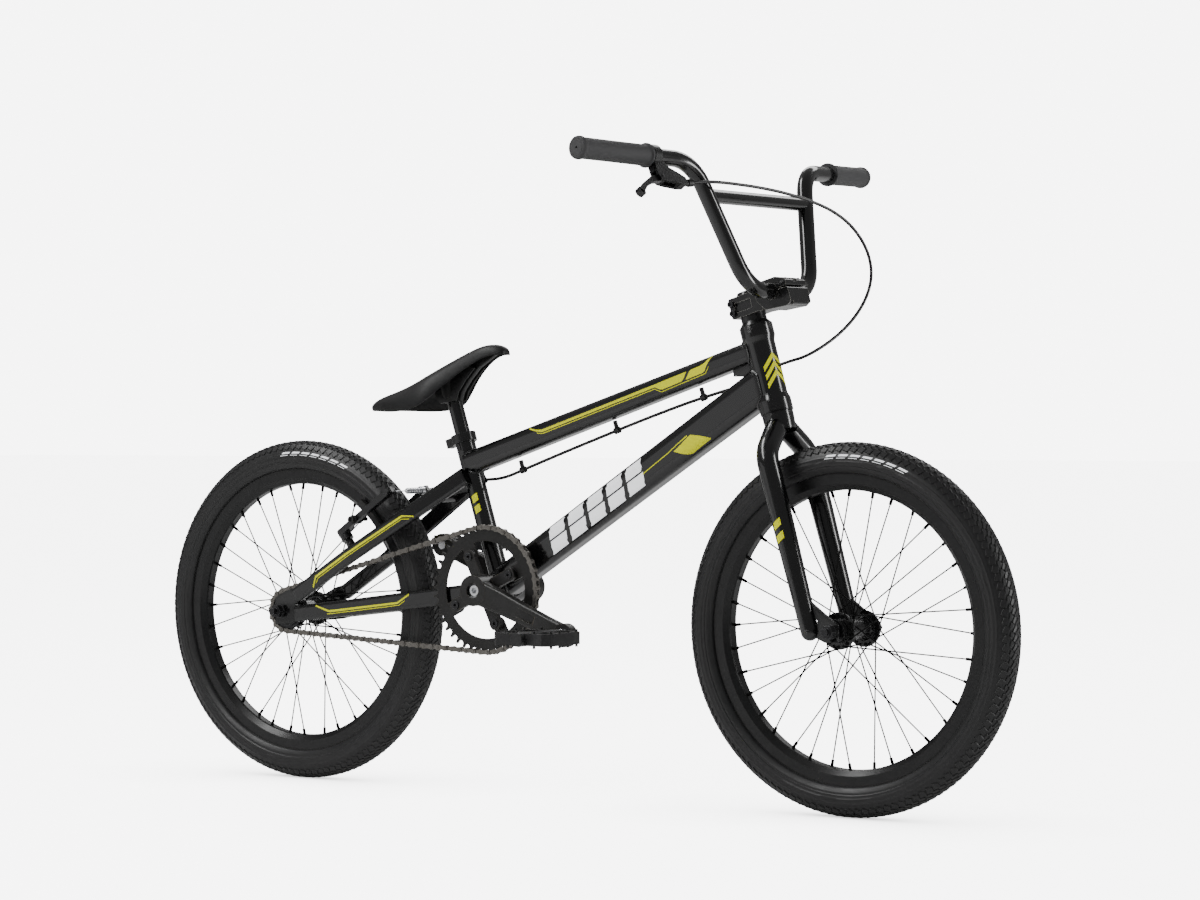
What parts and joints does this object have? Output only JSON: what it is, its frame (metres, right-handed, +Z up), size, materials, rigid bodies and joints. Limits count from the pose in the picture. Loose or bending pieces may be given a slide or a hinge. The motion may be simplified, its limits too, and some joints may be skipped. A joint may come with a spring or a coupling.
{
  "type": "bmx bike",
  "caption": "Small-wheeled BMX race bicycle with an aluminium frame, rigid fork, high-rise handlebar with crossbar, single-speed chain drive, rear rim brake and a slim tilted saddle.",
  "frame": {"origin": "on the ground, half way between the wheel axles, in the bike's middle plane", "axes": "+X forward to the front wheel, +Y to the rider's left, +Z up"},
  "size_m": [1.4439, 0.7268, 0.8974],
  "materials": {
    "frame_paint": "gloss black paint",
    "fork_paint": "gloss black paint",
    "bar_paint": "satin black paint",
    "stem_finish": "satin black anodised, polished edges",
    "black_alloy": "satin black anodised",
    "rim_finish": "black anodised, machined ridges",
    "crank_finish": "satin black anodised",
    "spoke_black": "black oxide",
    "black_steel": "black zinc",
    "bright_steel": "zinc plated",
    "bearing_steel": "ground",
    "chain_steel": "oiled grey steel",
    "post_alloy": "satin black anodised",
    "tyre_rubber": "black moulded tread",
    "tube_rubber": "butyl rubber",
    "grip_rubber": "matte moulded rubber",
    "housing_black": "ribbed cable housing",
    "pad_rubber": "moulded brake rubber",
    "clip_plastic": "moulded black plastic",
    "pedal_plastic": "moulded black nylon",
    "saddle_cover": "black grained synthetic leather",
    "decal_white": "printed film",
    "decal_yellow": "printed film",
    "decal_grey": "printed film"
  },
  "bodies": {
    "frame": {"head_tube": "frame_paint", "top_tube": "frame_paint", "down_tube": "frame_paint", "seat_tube": "frame_paint", "bottom_bracket_shell": "frame_paint", "seatstay_right": "frame_paint", "seatstay_left": "frame_paint", "chainstay_right": "frame_paint", "chainstay_left": "frame_paint", "rear_dropouts": "frame_paint", "brake_bosses": "frame_paint", "head_gusset": "frame_paint", "cable_clips": "clip_plastic", "seat_clamp": "black_alloy", "headset_bearings": "bearing_steel", "bottom_bracket_cups": "black_alloy", "rear_axle": "black_steel", "brake_housing": "housing_black", "chain": "chain_steel"},
    "steering": {"fork_steerer": "fork_paint", "fork_legs": "fork_paint", "fork_dropouts": "fork_paint", "headset_spacers": "black_alloy", "stem": "stem_finish", "stem_clamp_cap": "stem_finish", "stem_bolts": "black_steel", "handlebar": "bar_paint", "crossbar": "bar_paint", "grips": "grip_rubber", "brake_lever_bracket": "black_alloy", "front_axle": "black_steel", "brake_cable_loop": "housing_black"},
    "brake_lever": {"brake_lever": "black_alloy"},
    "front_wheel": {"front_tyre": "tyre_rubber", "front_inner_tube": "tube_rubber", "front_rim": "rim_finish", "front_spokes": "spoke_black", "front_hub": "black_alloy"},
    "rear_wheel": {"rear_tyre": "tyre_rubber", "rear_inner_tube": "tube_rubber", "rear_rim": "rim_finish", "rear_spokes": "spoke_black", "rear_hub": "black_alloy"},
    "crankset": {"crank_right": "crank_finish", "crank_left": "crank_finish", "chainring": "crank_finish", "chainring_bolts": "black_steel", "crank_spindle": "bearing_steel", "pedal_axles": "bearing_steel"},
    "freewheel": {"freewheel": "black_steel"},
    "pedal_right": {"pedal_right": "pedal_plastic"},
    "pedal_left": {"pedal_left": "pedal_plastic"},
    "brake_arm_right": {"brake_arm_right": "black_alloy", "brake_pad_right": "pad_rubber"},
    "brake_arm_left": {"brake_arm_left": "black_alloy", "brake_pad_left": "pad_rubber", "brake_noodle": "black_steel"},
    "seat": {"seatpost": "post_alloy", "saddle": "saddle_cover"}
  },
  "joints": [
    {"name": "steering", "type": "hinge", "parent": "frame", "child": "steering", "pos_m": [0.35548, 0, 0.54141], "axis": [-0.2756, 0, 0.9613], "range_deg": [-90, 90], "deforming": ["brake_cable_loop"]},
    {"name": "front_wheel_spin", "type": "hinge", "parent": "steering", "child": "front_wheel", "pos_m": [0.471, 0, 0.251], "axis": [0, 1, 0], "continuous": true},
    {"name": "rear_wheel_spin", "type": "hinge", "parent": "frame", "child": "rear_wheel", "pos_m": [-0.471, 0, 0.251], "axis": [0, 1, 0], "continuous": true},
    {"name": "crank_spin", "type": "hinge", "parent": "frame", "child": "crankset", "pos_m": [-0.10641, 0, 0.291], "axis": [0, 1, 0], "continuous": true, "deforming": ["chain"]},
    {"name": "freewheel_spin", "type": "hinge", "parent": "frame", "child": "freewheel", "pos_m": [-0.471, 0, 0.251], "axis": [0, 1, 0], "continuous": true},
    {"name": "pedal_right_spin", "type": "hinge", "parent": "crankset", "child": "pedal_right", "pos_m": [0.05906, -0.1455, 0.23403], "axis": [0, 1, 0], "continuous": true},
    {"name": "pedal_left_spin", "type": "hinge", "parent": "crankset", "child": "pedal_left", "pos_m": [-0.27187, 0.1455, 0.34797], "axis": [0, 1, 0], "continuous": true},
    {"name": "brake_lever_pull", "type": "hinge", "parent": "steering", "child": "brake_lever", "pos_m": [0.3186, -0.22913, 0.84718], "axis": [-0.8296, 0.1144, -0.5465], "range_deg": [0, 20], "stiffness_Nm_per_rad": 0.6, "springref_deg": -14.32},
    {"name": "brake_arm_right_swing", "type": "hinge", "parent": "frame", "child": "brake_arm_right", "pos_m": [-0.36172, -0.0435, 0.36858], "axis": [-0.5878, 0, 0.809], "range_deg": [0, 2.2], "stiffness_Nm_per_rad": 0.6, "springref_deg": -5.73},
    {"name": "brake_arm_left_swing", "type": "hinge", "parent": "frame", "child": "brake_arm_left", "pos_m": [-0.36172, 0.0435, 0.36858], "axis": [-0.5878, 0, 0.809], "range_deg": [-2.2, 0], "stiffness_Nm_per_rad": 0.6, "springref_deg": 5.73, "deforming": ["brake_noodle"]},
    {"name": "seat_height", "type": "slide", "parent": "frame", "child": "seat", "axis": [-0.3024, 0, 0.9532], "range_m": [-0.035, 0.04]}
  ],
  "couplings": [
    {"joint": "freewheel_spin", "follows": "crank_spin", "ratio": 2.9333},
    {"joint": "brake_arm_right_swing", "follows": "brake_lever_pull", "ratio": 0.11},
    {"joint": "brake_arm_left_swing", "follows": "brake_lever_pull", "ratio": -0.11}
  ]
}
